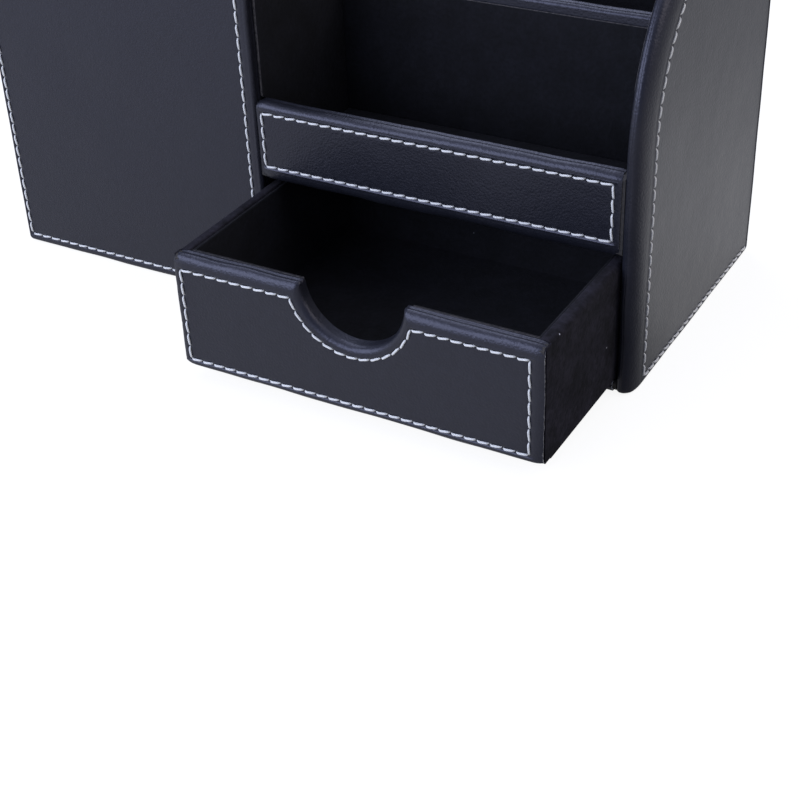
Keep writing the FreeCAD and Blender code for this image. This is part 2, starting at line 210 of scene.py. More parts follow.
# %% Outline of the drawer's front
def notched_outline(board, seam, notch_radius, notch_lift):
    """As above, for the drawer's front, whose upper edge has a half-round finger notch."""
    counts = {}

    def draw(margins):
        left, right = margins.left, board.width - margins.right
        bottom, top = margins.bottom, board.height - margins.top
        centre = Vector((board.width / 2, board.height + notch_lift))
        radius = notch_radius + margins.notch
        drop = math.asin((margins.top + notch_lift) / radius)
        reach = Vector((radius * math.cos(drop), -radius * math.sin(drop)))
        stops = (
            ("bottom", (right, bottom), None, 0),
            ("right", (right, top), None, 0),
            ("top_right", centre + reach, None, 0),
            ("notch", centre + Vector((-reach.x, reach.y)), centre, 2 * drop - math.pi),
            ("top_left", (left, top), None, 0),
            ("left", (left, bottom), None, 0),
        )
        if not counts:
            counts.update(count_pieces(stops, (), 0))
        return [Run(*stop, *counts[stop[0]]) for stop in stops]

    draw(seam)
    return draw


# %% [markdown]
# ## Rings of leather
# The cover grows ring by ring. A circle with the right number of points is laid on the outline, then
# its edge is extruded again and again, and each new ring is set at its own margin and depth: down into
# the seam, up over the puff beside it, round the edge and back behind the board. This keeps one long
# quad along each stitch, so the relief follows the seam exactly, which a bump map can't do.

# %% Rings
def start_ring(bm, points, depth):
    """A ring of vertices on the points, from a circle."""
    ring = bmesh.ops.create_circle(bm, segments=len(points), radius=1.0)["verts"]
    put(ring, points, depth)
    return ring


def put(ring, points, depth):
    """Moves a ring's vertices to the points. depth is one number or one for each point."""
    depths = depth if isinstance(depth, list) else [depth] * len(points)
    for vert, point, below in zip(ring, points, depths):
        vert.co = (point.x, point.y, -below)


def next_ring(bm, ring, points, depth, closed=True):
    """Extrudes the ring's edges and moves the new ring to the points."""
    followers = ring[1:] + ring[:1] if closed else ring[1:]
    edges = [bm.edges.get(pair) for pair in zip(ring, followers)]
    made = bmesh.ops.extrude_edge_only(bm, edges=edges)["geom"]
    fresh = {item for item in made if isinstance(item, bmesh.types.BMVert)}
    new = [next(other for edge in vert.link_edges if (other := edge.other_vert(vert)) in fresh)
           for vert in ring]
    put(new, points, depth)
    return new


# %% [markdown]
# ## The profile of a rolled edge
# Leather drawn over the two corners of a board leaves a soft roll at each and a shallow valley
# between, which shows as two bright lines with a dark one between them. The stretched leather is never
# perfectly even, so a slow wobble moves the rolls by up to a few tenths of a millimetre.

# %% Profile sizes
# reach: how far in on the face the roll begins; front, back: its depth at the two corners of the board's
# edge; valley: the dip between them
Roll = namedtuple("Roll", "reach front back valley")
PLAIN = Roll(1.3 * MM, 1.3 * MM, 1.7 * MM, 0.40 * MM)
PADDED = Roll(4.0 * MM, 2.4 * MM, 1.2 * MM, 0.34 * MM)  # the leather lies looser
SLOPED = Roll(8.8 * MM, 3.5 * MM, 1.4 * MM, 0.05 * MM)  # the face falls away in a long slope
ROLL_STEPS = 9
VALLEY_STEPS = 6
PUFF_STEPS = 4
FACE_DEPTH = 0.22 * MM  # the flat face lies this far under the puffs
SEAM_HALF = 0.75 * MM  # half the width of the trough that a seam lies in
SEAM_DEPTH = 0.5 * MM
SEAM_RIM = 0.12 * MM
HOLD_RING = 0.6 * MM  # a ring this far inside the trough keeps the rest of the face flat
SEAM_TO_EDGE = 1.2 * MM  # the least room between a seam and the roll
LEATHER = 0.5 * MM
TURN_IN = 12 * MM
NOTCH_SHARE = 0.4  # the finger notch is cut square, and its leather turns in less


def edge_margins(seam, raw, roll):
    """Where the flat face ends and the roll begins: nearer to the edge where a seam runs close to it."""
    return Margins(**{
        side: raw[side] if side in raw else min(roll.reach, max(margin - SEAM_TO_EDGE, 0.0))
        for side, margin in seam._asdict().items()
    })


def quarter_steps():
    """The angles of a quarter turn, from the flat face to the wall."""
    return [QUARTER * step / ROLL_STEPS for step in range(1, ROLL_STEPS + 1)]


def on_quarter(angle, radius):
    """A point on a quarter turn: how far it still is from the wall, and how far below the face."""
    return radius * (1 - math.sin(angle)), radius * (1 - math.cos(angle))


def roll_profile(thickness, roll=PLAIN):
    """Share of the face's margin, extra margin and depth of each ring from the face to the back."""
    rings = [(1 - math.sin(angle), 0.0, roll.front * (1 - math.cos(angle))) for angle in quarter_steps()]
    flat = thickness - roll.front - roll.back
    for share in (step / VALLEY_STEPS for step in range(1, VALLEY_STEPS)):
        rings.append((0.0, roll.valley * math.sin(math.pi * share) ** 2, roll.front + flat * share))
    for angle in (*reversed(quarter_steps()), 0.0):
        inwards, below = on_quarter(angle, roll.back)
        rings.append((0.0, inwards, thickness - below))
    return rings


# %% Face of a panel
def face_rings(bm, draw, seam, edge):
    """The flat face, its sunken seam and the puff beside it, out to where the roll begins.

    Returns the outer ring, the seam's points and its runs.
    """
    runs = draw(seam)
    hold = pull(runs)
    ring = start_ring(bm, walk(draw(grown(seam, SEAM_HALF + HOLD_RING))), FACE_DEPTH)
    bmesh.ops.contextual_create(bm, geom=bm.edges[:])
    ring = next_ring(bm, ring, walk(draw(grown(seam, SEAM_HALF))), FACE_DEPTH)
    seam_points = walk(runs)
    seam_depths = [FACE_DEPTH + (SEAM_DEPTH - FACE_DEPTH) * share for share in hold]
    ring = next_ring(bm, ring, seam_points, seam_depths)
    shoulder = Margins(*(max(margin - SEAM_HALF, least) for margin, least in zip(seam, edge)))
    rims = [SEAM_RIM if share > 0 else FACE_DEPTH for share in hold]
    ring = next_ring(bm, ring, walk(draw(shoulder)), rims)
    for step in range(1, PUFF_STEPS + 1):
        share = step / PUFF_STEPS
        depth = SEAM_RIM * (1 - math.sin(math.pi * share)) * (1 - share / 2)
        ring = next_ring(bm, ring, walk(draw(mixed(shoulder, edge, share))), depth)
    return ring, seam_points, runs


# %% Rolled edges
def picked(runs, names):
    """Positions of the outline's points on the named runs, both ends included."""
    position, chosen = 0, []
    for run in runs:
        if run.name in names:
            chosen += range(position, position + run.pieces + 1)
        position += run.pieces
    return [index % position for index in dict.fromkeys(chosen)]


def roll_over(bm, ring, draw, edge, rings, raw, part=None):
    """Carries the ring, or a part of it, round the panel's edge and back behind the board."""
    closed = part is None
    part = range(len(ring)) if closed else part
    ring = [ring[index] for index in part]
    thickness = rings[-1][2]
    for share, extra, depth in rings:
        in_notch = extra * NOTCH_SHARE if depth >= thickness else 0.0
        margins = Margins(**{
            side: raw[side] if side in raw else margin * share + (in_notch if side == "notch" else extra)
            for side, margin in edge._asdict().items()
        })
        points = walk(draw(margins))
        ring = next_ring(bm, ring, [points[index] for index in part], depth, closed)


# %% Unevenness
WAVE = 0.44 * MM
WAVE_LENGTH = 15 * MM
NEAR_EDGE = 5 * MM  # the flat face further in is stuck to the board and stays flat
FACE_WAVE = 0.3  # what is left of the wobble on the face itself
WAVE_SEED = 7  # without a seed, noise_vector starts from the clock and differs from run to run
noise.seed_set(WAVE_SEED)


def wobble(bm, board):
    """Moves the leather near the edges a little, all neighbours together, as stretched leather does."""
    for vert in bm.verts:
        inwards = min(vert.co.x, vert.co.y, board.width - vert.co.x, board.height - vert.co.y)
        behind = min(max(-vert.co.z / board.thickness, 0.0), 1.0)
        loose = FACE_WAVE + (1 - FACE_WAVE) * math.sin(math.pi * behind)
        share = max(1 - inwards / NEAR_EDGE, 0.0) * loose
        vert.co += noise.noise_vector(vert.co / WAVE_LENGTH) * WAVE * share


# %% Cut ends
END_REACH = 3.5 * MM
END_TUCK = 1.8  # how far the cut runs inwards towards the back, as a multiple of the bend
FRAY = 0.256 * MM
FRAY_LENGTH = 1.1 * MM
FRAY_SHIFT = Vector((7, 0, 0))  # another part of the noise, so that it differs from the wobble
AT_END = 0.25 * MM


def bend_ends(bm, board, bends):
    """Rounds the face and its corners back at the two ends. bends are the depths at left and right."""
    middle = board.height / 2
    for vert in bm.verts:
        for bend, sign, inwards in zip(bends, (1, -1), (vert.co.x, board.width - vert.co.x)):
            share = max(1 - inwards / END_REACH, 0.0) ** 2
            vert.co.x -= sign * END_TUCK * share * bend * vert.co.z / board.thickness
            from_middle = (vert.co.y - middle) / middle
            vert.co.y -= bend * share * from_middle ** 3
            vert.co.z -= bend * share * (1 + vert.co.z / board.thickness)


def fray(bm, board, raw):
    """Makes the raw ends ragged, as scissors leave them."""
    planes = {"left": (raw.get("left", 0.0), 1), "right": (board.width - raw.get("right", 0.0), -1)}
    for vert in bm.verts:
        for plane, sign in (planes[side] for side in raw):
            if abs(vert.co.x - plane) < AT_END:
                vert.co.x += sign * FRAY * abs(noise.noise(vert.co / FRAY_LENGTH + FRAY_SHIFT))


# %% [markdown]
# ## From a drawing to a piece
# The finished sheet of leather gets its thickness from a Solidify modifier, which also gives the cut
# ends their own material: cut leather shows its pale backing cloth. Every piece is set to ride on the
# CAD body that it belongs to and stands for the CAD cover, which is then hidden.

# %% Finishing a piece
pieces = {}


def finish_piece(name, bm, body, finish, stands_for=()):
    """Makes an object of the mesh, in the given materials, and ties it to the frame."""
    mesh = bpy.data.meshes.new(name)
    bm.to_mesh(mesh)
    bm.free()
    mesh.shade_smooth()
    piece = bpy.data.objects.new(name, mesh)
    bpy.context.scene.collection.objects.link(piece)
    for material in finish:
        mesh.materials.append(material)
    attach(piece, body)
    if stands_for:
        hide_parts(*stands_for)
    pieces[name] = piece
    return piece


def thicken(piece, thickness):
    """Gives a sheet its thickness, inwards, with the second material at its crisp cut edges."""
    bm = bmesh.new()
    bm.from_mesh(piece.data)
    for edge in bm.edges:
        edge.smooth = not edge.is_boundary
    bm.to_mesh(piece.data)
    bm.free()
    solid = piece.modifiers.new("thickness", "SOLIDIFY")
    solid.thickness = thickness
    solid.offset = -1
    solid.material_offset_rim = 1


def face_outwards(bm, outwards):
    """Turns the faces so that the largest one looks outwards."""
    bmesh.ops.recalc_face_normals(bm, faces=bm.faces)
    largest = max(bm.faces, key=lambda face: face.calc_area())
    if largest.normal.dot(outwards) < 0:
        bmesh.ops.reverse_faces(bm, faces=bm.faces)


# %% [markdown]
# ## Materials
# Each material starts from what it is on the real object and how it was made. One function turns the
# hex colours of a paint chart into the linear light that the renderer works in, and one adds a node
# with its settings and links.

# %% Material helpers
def colour(chart):
    """A hex colour as linear light."""
    def linear(byte):
        value = byte / 255
        return value / 12.92 if value <= 0.04045 else ((value + 0.055) / 1.055) ** 2.4
    return (*(linear(byte) for byte in bytes.fromhex(chart)), 1.0)


def add(tree, kind, inputs=(), **settings):
    """Adds a node. inputs are pairs of a socket's name or number and a value or another socket."""
    node = tree.nodes.new(kind)
    for name, value in settings.items():
        setattr(node, name, value)
    for socket, value in inputs:
        if isinstance(value, bpy.types.NodeSocket):
            tree.links.new(value, node.inputs[socket])
        else:
            node.inputs[socket].default_value = value
    return node


def new_material(name):
    """An empty material, its tree and its surface shader."""
    material = bpy.data.materials.new(name)
    material.use_nodes = True
    tree = material.node_tree
    return material, tree, tree.nodes["Principled BSDF"]


def per_metre(size):
    """The texture scale whose features are about this large."""
    return 1.0 / size


def noise_texture(tree, place, size, detail):
    """A noise with features of about this size."""
    return add(tree, "ShaderNodeTexNoise", [
        ("Vector", place), ("Scale", per_metre(size)), ("Detail", detail)])


# %% [markdown]
# ### Black imitation leather
# Polyurethane film on a cloth, embossed with a fine pebble grain. The film is dark blue-black with a
# satin gloss. The pebbles are under a millimetre across, so at arm's length they only soften the gloss.
# A slower unevenness of the board beneath shows as faint clouds in the reflection.

# %% Imitation leather
GRAIN = 0.65 * MM
CREASE = 2.1 * MM
CLOUD = 24 * MM


def polyurethane_leather():
    """Embossed film: pebbles, fine creases and the board's slow unevenness as three bumps in a row."""
    material, tree, shader = new_material("polyurethane_leather")
    place = add(tree, "ShaderNodeTexCoord").outputs["Object"]
    pebbles = add(tree, "ShaderNodeTexVoronoi", [("Vector", place), ("Scale", per_metre(GRAIN))],
                  feature="SMOOTH_F1")
    creases = noise_texture(tree, place, CREASE, 5.0)
    clouds = noise_texture(tree, place, CLOUD, 3.0)
    tone = add(tree, "ShaderNodeMix", [
        ("Factor", creases.outputs["Fac"]), ("A", colour("101116")), ("B", colour("18191f"))],
        data_type="RGBA")
    tree.links.new(tone.outputs["Result"], shader.inputs["Base Color"])
    shader.inputs["IOR"].default_value = 1.43
    shader.inputs["Specular Tint"].default_value = colour("e6e5f8")
    gloss = add(tree, "ShaderNodeMapRange", [
        ("Value", creases.outputs["Fac"]), ("To Min", 0.34), ("To Max", 0.42)])
    tree.links.new(gloss.outputs["Result"], shader.inputs["Roughness"])
    grain = add(tree, "ShaderNodeBump", [
        ("Height", pebbles.outputs["Distance"]), ("Strength", 0.7), ("Distance", 0.11 * MM)], invert=True)
    wrinkle = add(tree, "ShaderNodeBump", [
        ("Height", creases.outputs["Fac"]), ("Strength", 0.04), ("Distance", 0.10 * MM),
        ("Normal", grain.outputs["Normal"])])
    sag = add(tree, "ShaderNodeBump", [
        ("Height", clouds.outputs["Fac"]), ("Strength", 0.5), ("Distance", 0.8 * MM),
        ("Normal", wrinkle.outputs["Normal"])])
    tree.links.new(sag.outputs["Normal"], shader.inputs["Normal"])
    return material


# %% [markdown]
# ### The cut edges
# Cut leather shows its grey backing cloth with a little of the black film, and cut card shows grey
# fibres. Both are matt and mottled, at the scale of the fibres bunching together.

# %% Cut edges
def cut_edge(name, dark, light, bunch):
    """Matt fibres, mottled between two tones. bunch is the size of the mottling."""
    material, tree, shader = new_material(name)
    place = add(tree, "ShaderNodeTexCoord").outputs["Object"]
    fibres = noise_texture(tree, place, bunch, 4.0)
    spread = add(tree, "ShaderNodeMapRange", [
        ("Value", fibres.outputs["Fac"]), ("From Min", 0.35), ("From Max", 0.65)])
    tone = add(tree, "ShaderNodeMix", [
        ("Factor", spread.outputs["Result"]), ("A", colour(dark)), ("B", colour(light))], data_type="RGBA")
    tree.links.new(tone.outputs["Result"], shader.inputs["Base Color"])
    rough = add(tree, "ShaderNodeBump", [
        ("Height", fibres.outputs["Fac"]), ("Strength", 0.6), ("Distance", 0.1 * MM)])
    tree.links.new(rough.outputs["Normal"], shader.inputs["Normal"])
    shader.inputs["Roughness"].default_value = 0.85
    return material


# %% [markdown]
# ### Black velvet
# A short dense pile that swallows light seen face on and glows faintly at grazing angles, where the
# tips of the fibres catch it. Stroking leaves patches that lie another way, a few millimetres across;
# together with the finer tufts they are drawn as a lighter tone in the pile's colour, a painted sheen.
# Lint clings to it as single pale specks, more of them on the drawer than in the compartments.

# %% Velvet
TUFT = 1.5 * MM
PATCH = 9 * MM
LINT = 0.3 * MM


def velvet(name, pile_dark, pile_light, glow, lint_apart):
    """Velvet in two tones of pile, the lighter one a painted sheen. lint_apart is the distance between
    specks of lint.
    """
    material, tree, shader = new_material(name)
    place = add(tree, "ShaderNodeTexCoord").outputs["Object"]
    tufts = noise_texture(tree, place, TUFT, 3.0)
    patches = noise_texture(tree, place, PATCH, 3.0)
    both = add(tree, "ShaderNodeMath", [(0, tufts.outputs["Fac"]), (1, patches.outputs["Fac"])],
               operation="MULTIPLY")
    spread = add(tree, "ShaderNodeMapRange", [
        ("Value", both.outputs["Value"]), ("From Min", 0.12), ("From Max", 0.40)])
    # where tufts and patches rise together the pile is lighter: painted sheen, fixed in the colour
    nap = add(tree, "ShaderNodeMix", [
        ("Factor", spread.outputs["Result"]), ("A", colour(pile_dark)), ("B", colour(pile_light))],
        data_type="RGBA")
    lint = add(tree, "ShaderNodeTexVoronoi", [("Vector", place), ("Scale", per_metre(lint_apart))])
    speck = add(tree, "ShaderNodeMapRange", [
        ("Value", lint.outputs["Distance"]), ("From Min", LINT / 2 / lint_apart),
        ("From Max", LINT / lint_apart), ("To Min", 1.0), ("To Max", 0.0)])
    dressed = add(tree, "ShaderNodeMix", [
        ("Factor", speck.outputs["Result"]), ("A", nap.outputs["Result"]), ("B", colour("b9b9c2"))],
        data_type="RGBA")
    tree.links.new(dressed.outputs["Result"], shader.inputs["Base Color"])
    bump = add(tree, "ShaderNodeBump", [
        ("Height", tufts.outputs["Fac"]), ("Strength", 0.6), ("Distance", 0.4 * MM)])
    tree.links.new(bump.outputs["Normal"], shader.inputs["Normal"])
    shader.inputs["Roughness"].default_value = 0.95
    shader.inputs["Specular IOR Level"].default_value = 0.15
    shader.inputs["Sheen Weight"].default_value = glow
    shader.inputs["Sheen Roughness"].default_value = 0.35
    shader.inputs["Sheen Tint"].default_value = colour("9c9cac")
    return material


# %% [markdown]
# ### Thread, board and felt
# The thread is bonded polyester, nearly white, with the twist of its three plies showing as slanted
# lines: a bump, and painted shade that darkens the grooves between the plies. Its pattern follows a UV
# map that runs along and round each stitch. The fibreboard is pressed wood fibre, dyed nearly black,
# matt and hardly seen. The felt under the case is coarse and dull.

# %% Thread, board and felt
PLIES_PER_STITCH = 5.0  # slanted lines along one stitch


def polyester_thread():
    """Nearly white thread with slanted plies, and painted shade in the grooves between them."""
    material, tree, shader = new_material("polyester_thread")
    along = add(tree, "ShaderNodeUVMap", uv_map="thread").outputs["UV"]
    plies = add(tree, "ShaderNodeTexWave", [
        ("Vector", along), ("Scale", PLIES_PER_STITCH), ("Distortion", 0.4)],
        wave_type="BANDS", bands_direction="DIAGONAL")
    # the darker tone falls where the bump is lowest: painted shade in the grooves between the plies
    tone = add(tree, "ShaderNodeMix", [
        ("Factor", plies.outputs["Fac"]), ("A", colour("a8a8a6")), ("B", colour("d2d1cc"))],
        data_type="RGBA")
    tree.links.new(tone.outputs["Result"], shader.inputs["Base Color"])
    twist = add(tree, "ShaderNodeBump", [
        ("Height", plies.outputs["Fac"]), ("Strength", 0.4), ("Distance", 0.08 * MM)])
    tree.links.new(twist.outputs["Normal"], shader.inputs["Normal"])
    shader.inputs["Roughness"].default_value = 0.55
    shader.inputs["Sheen Weight"].default_value = 0.15
    return material


leather = polyurethane_leather()
leather_cut = cut_edge("cut_leather", "4c4c50", "c4c4c6", 0.9 * MM)
card_cut = cut_edge("cut_card", "08080b", "3e3a3a", 0.8 * MM)
fibreboard = cut_edge("fibreboard", "141210", "26221f", 0.6 * MM)
felt = cut_edge("black_felt", "0e0e10", "26262a", 1.1 * MM)
compartment_velvet = velvet("compartment_velvet", "0f0f11", "16161a", 0.025, 40 * MM)
drawer_velvet = velvet("drawer_velvet", "09080b", "201e25", 0.03, 9 * MM)
thread = polyester_thread()
print("materials:", [material.name for material in bpy.data.materials])

# %% [markdown]
# ## Stitches
# A lockstitch shows as a row of short rice-grain bumps: the thread comes up through one hole, arches
# over the leather and dives into the next, a little askew to the row. One stitch is modelled once, from
# a six-sided cylinder, and a copy is laid between each pair of holes.

# %% One stitch
THREAD = 0.77 * MM
STITCH_RISE = 0.17 * MM
STITCH_SINK = 0.34 * MM
STITCH_SHARE = 0.93  # of the distance between two holes
STITCH_BEND = 0.04 * MM  # each stitch is a shallow S, drawn tight against the holes
STITCH_TAPER = 0.35
STITCH_CUTS = 7
SLANT = math.radians(4)
STRAY = math.radians(5)
STRAY_LENGTH = 3 * MM


def one_stitch(lean):
    """A stitch of unit length along x, with a UV map along and round it. lean is 1 or -1."""
    bm = bmesh.new()
    bmesh.ops.create_cone(bm, cap_ends=True, segments=6, radius1=THREAD / 2, radius2=THREAD / 2, depth=1.0)
    bmesh.ops.rotate(bm, verts=bm.verts, matrix=Matrix.Rotation(QUARTER, 3, "Y"))
    long_edges = [edge for edge in bm.edges if abs(edge.verts[0].co.x - edge.verts[1].co.x) > 0.5]
    bmesh.ops.subdivide_edges(bm, edges=long_edges, cuts=STITCH_CUTS)
    around = bm.loops.layers.uv.new("thread")
    for face in bm.faces:
        middle = face.calc_center_median()
        for loop in face.loops:
            angle = math.atan2(loop.vert.co.z + middle.z, loop.vert.co.y + middle.y)
            loop[around].uv = (loop.vert.co.x + 0.5, angle / (2 * math.pi))
    for vert in bm.verts:
        out = abs(vert.co.x) * 2
        slim = 1 - STITCH_TAPER * out ** 4
        vert.co.y = vert.co.y * slim + lean * STITCH_BEND * math.sin(2 * math.pi * vert.co.x)
        vert.co.z = vert.co.z * slim + STITCH_RISE * (1 - out ** 4) - STITCH_SINK * out ** 6
    mesh = bpy.data.meshes.new("stitch")
    bm.to_mesh(mesh)
    bm.free()
    return mesh


# %% A row of stitches
stitches = {lean: one_stitch(lean) for lean in (1, -1)}


def sew(bm, place, points, runs, lean):
    """Lays a stitch between each pair of neighbouring holes on the sewn runs."""
    position, laid = 0, 0
    for run in runs:
        if run.sewn and run.pieces > CORNER_STEPS:
            for start in range(position, position + run.pieces, PER_STITCH):
                first = points[start]
                last = points[(start + PER_STITCH) % len(points)]
                lay_stitch(bm, place, first, last, lean)
                laid += 1
        position += run.pieces
    return laid


def lay_stitch(bm, place, first, last, lean):
    """Adds a copy of the stitch between two holes, nearly in line with them."""
    chord = last - first
    middle = (first + last) / 2
    askew = lean * SLANT + STRAY * noise.noise(Vector((*middle, 0.0)) / STRAY_LENGTH)
    turn = Matrix.Rotation(math.atan2(chord.y, chord.x) + askew, 4, "Z")
    stretch = Matrix.Diagonal((chord.length * STITCH_SHARE, 1.0, 1.0, 1.0))
    spot = Matrix.Translation(Vector((*middle, -FACE_DEPTH)))
    count = len(bm.verts)
    bm.from_mesh(stitches[lean])
    bm.verts.ensure_lookup_table()
    bmesh.ops.transform(bm, matrix=place @ spot @ turn @ stretch, verts=bm.verts[count:])


# %% [markdown]
# ## The wrapped panels
# The four outer panels are wrapped on every side. The lip and the drawer's front are wrapped over
# their long edges only, and end in a straight cut. The seams don't keep one distance from the edges:
# they were guided by hand along each side.

# %% Covers
def wrap(name, draw, seam, body="case", raw=None, lean=1, roll=PLAIN, bends=(0.0, 0.0)):
    """Models a panel's leather cover and its thread.

    raw gives the margins of ends that are only cut, lean the way the stitches slant, and bends how far
    the left and right ends are rounded back.
    """
    board, raw = panels[name], raw or {}
    edge = edge_margins(seam, raw, roll)
    bm = bmesh.new()
    ring, seam_points, runs = face_rings(bm, draw, seam, edge)
    rings = roll_profile(board.thickness, roll) + [(0.0, TURN_IN, board.thickness)]
    if raw:
        for side in ({"bottom"}, {"top", "top_left", "notch", "top_right"}):
            roll_over(bm, ring, draw, edge, rings, raw, picked(runs, side))
    else:
        roll_over(bm, ring, draw, edge, rings, raw)
    fray(bm, board, raw)
    bend_ends(bm, board, bends)
    wobble(bm, board)
    face_outwards(bm, Vector((0, 0, 1)))
    bm.transform(board.place)
    finish = [leather, leather_cut]
    cover = finish_piece(f"{name}_leather", bm, body, finish, [f"{name}_cover"])
    thicken(cover, LEATHER)
    sewn = bmesh.new()
    laid = sew(sewn, board.place, seam_points, runs, lean)
    finish_piece(f"{name}_thread", sewn, body, [thread])
    print(f"{name}: {len(cover.data.polygons)} faces of leather, {laid} stitches")


# %% Rounded panels
SIDE_CURVE = 62 * MM
CORNER = 1.6 * MM
NOTCH = 17.4 * MM
NOTCH_LIFT = 1.2 * MM
LIP_GAP = 0.9 * MM  # the lip's leather stops short of the right side


def wrap_rounded(name, seam, radii=None, unsewn=(), **options):
    """Wraps a panel without a notch. Its corners are square where the ends are only cut."""
    raw = options.get("raw")
    radii = radii or ((0.0,) * 4 if raw else (CORNER,) * 4)
    draw = rounded_outline(panels[name], seam, radii, unsewn, 0 if raw else CORNER_STEPS)
    wrap(name, draw, seam, **options)


wrap_rounded("tower_front", Margins(1.9 * MM, 3.0 * MM, 4.2 * MM, 4.0 * MM))
wrap_rounded("left_side", Margins(4.0 * MM, 3.0 * MM, 4.0 * MM, 4.0 * MM))
wrap_rounded("back", even(4.0 * MM))
wrap_rounded("right_side", Margins(10.0 * MM, 1.8 * MM, 1.6 * MM, 9.3 * MM), lean=-1,
             radii=(CORNER, CORNER, CORNER, SIDE_CURVE), unsewn=("right", "top_right", "bottom_right"),
             roll=SLOPED)
wrap_rounded("lip", Margins(2.0 * MM, 5.0 * MM, 3.4 * MM, 3.6 * MM), raw={"left": 0.0, "right": LIP_GAP},
             roll=PADDED, bends=(0.5 * MM, 0.5 * MM))

# %% The drawer's front
drawer_seam = Margins(2.4 * MM, 2.9 * MM, 4.5 * MM, 5.1 * MM, 3.7 * MM)
notched = notched_outline(panels["drawer_front"], drawer_seam, NOTCH, NOTCH_LIFT)
wrap("drawer_front", notched, drawer_seam, body="drawer", raw={"left": 0.1 * MM, "right": 0.1 * MM},
     roll=PADDED, bends=(0.55 * MM, 0.5 * MM))

# %% [markdown]
# ## Strips folded over an edge
# The inner boards and the base are only capped: a strip of leather is folded over the edge that shows
# and glued down on both sides. A straight row of points is extruded round the same profile.

# %% Folded strips
END_GAP = 1.0 * MM  # the strip on the base stops short of the right side


def row_of_points(bm, start, end):
    """Vertices in a straight line along x, joined by edges."""
    ends = [bmesh.ops.create_vert(bm, co=(x, 0.0, 0.0))["vert"][0] for x in (start, end)]
    bmesh.ops.contextual_create(bm, geom=ends)
    bmesh.ops.subdivide_edges(bm, edges=bm.edges[:], cuts=pieces_of(end - start) // 2)
    return sorted(bm.verts, key=lambda vert: vert.co.x)


def fold_over(name, raw=None):
    """A strip of leather folded over a panel's upper edge."""
    board, raw = panels[name], raw or {}
    bm = bmesh.new()
    row = row_of_points(bm, raw.get("left", 0.0), board.width - raw.get("right", 0.0))
    across = [vert.co.x for vert in row]
    for share, extra, depth in ((1.0, 0.0, 0.0), *roll_profile(board.thickness)):
        drop = PLAIN.reach * share + extra
        row = next_ring(bm, row, [Vector((x, board.height - drop)) for x in across], depth, closed=False)
    next_ring(bm, row, [Vector((x, 0.0)) for x in across], board.thickness, closed=False)
    fray(bm, board, raw)
    wobble(bm, board)
    face_outwards(bm, Vector((0, 0, 1)))
    bm.transform(board.place)
    finish = [leather, leather_cut]
    thicken(finish_piece(f"{name}_strip", bm, "case", finish, [f"{name}_cover"]), LEATHER)


fold_over("tower_wall")
fold_over("tower_divider")
fold_over("bay_divider")
fold_over("base_edge", raw={"left": END_GAP})
print("folded strips:", [name for name in pieces if name.endswith("_strip")])

# %% [markdown]
# ## Velvet cards and cloth
# The inner cards and the drawer's cloth are plain flat shapes that the CAD model has right. A copy of
# each is merged into clean faces and its sharp edges are bevelled, because pile and card never end in
# a knife edge. The thin faces of a card get the material of its cut edge.

# %% Softened copies
WELD = 0.001 * MM
FLAT = math.radians(0.5)
SHARP = math.radians(35)
CARD_EDGE = 0.3 * MM
CLOTH_EDGE = 0.2 * MM
THIN_FACE = 0.4  # on a card's cut edge, the normal points less than this along the thin axis


def softened(node, width):
    """A clean copy of a CAD solid with its sharp edges rounded over."""
    bm = bmesh.new()
    bm.from_mesh(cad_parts[node].data)
    bmesh.ops.remove_doubles(bm, verts=bm.verts, dist=WELD)
    bmesh.ops.dissolve_limit(bm, angle_limit=FLAT, verts=bm.verts, edges=bm.edges)
    sharp = [edge for edge in bm.edges if edge.calc_face_angle(0) > SHARP]
    bmesh.ops.bevel(bm, geom=sharp, offset=width, offset_type="OFFSET", segments=2, profile=0.5,
                    affect="EDGES", clamp_overlap=True, material=-1)
    return bm


def line_with(node, body, cloth, width, thin_axis=None):
    """Replaces a CAD card or cloth by its softened copy; thin_axis is the one the card is thin along."""
    bm = softened(node, width)
    if thin_axis is not None:
        for face in bm.faces:
            face.material_index = int(abs(face.normal[thin_axis]) < THIN_FACE)
    finish_piece(f"{node}_piece", bm, body, [cloth, card_cut], [node])


for node in [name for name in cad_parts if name.endswith("_lining")]:
    low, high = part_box(node)
    size = high - low
    line_with(node, "case", compartment_velvet, CARD_EDGE, min(range(3), key=lambda axis: size[axis]))
for node in ("drawer_back_cloth", "drawer_under_cloth"):
    line_with(node, "drawer", drawer_velvet, CLOTH_EDGE)
line_with("drawer_bay_cloth", "case", compartment_velvet, CLOTH_EDGE)
print("cards and cloths:", len([name for name in pieces if name.endswith("_piece")]))

# %% [markdown]
# ### The drawer's sides and liner
# Outside, one sheet of velvet covers a side of the drawer, the end of its front board and the rim, where
# it turns over in a soft roll. Inside is a tray of card. Its upper edge and the cut round the notch show
# as a thin pale line.

# %% Drawer sides
RIM_ROLL = 1.5 * MM
INNER_ROLL = 0.7 * MM
RIM_WIDTH = 3.75 * MM
END_PLATE = 3.6 * MM  # how much of the side's length the piece over the front board takes
END_CORNER = 0.15 * MM
SETBACK = 0.8 * MM  # the velvet at the end of the front board starts behind the leather
CLOTH = 0.5 * MM


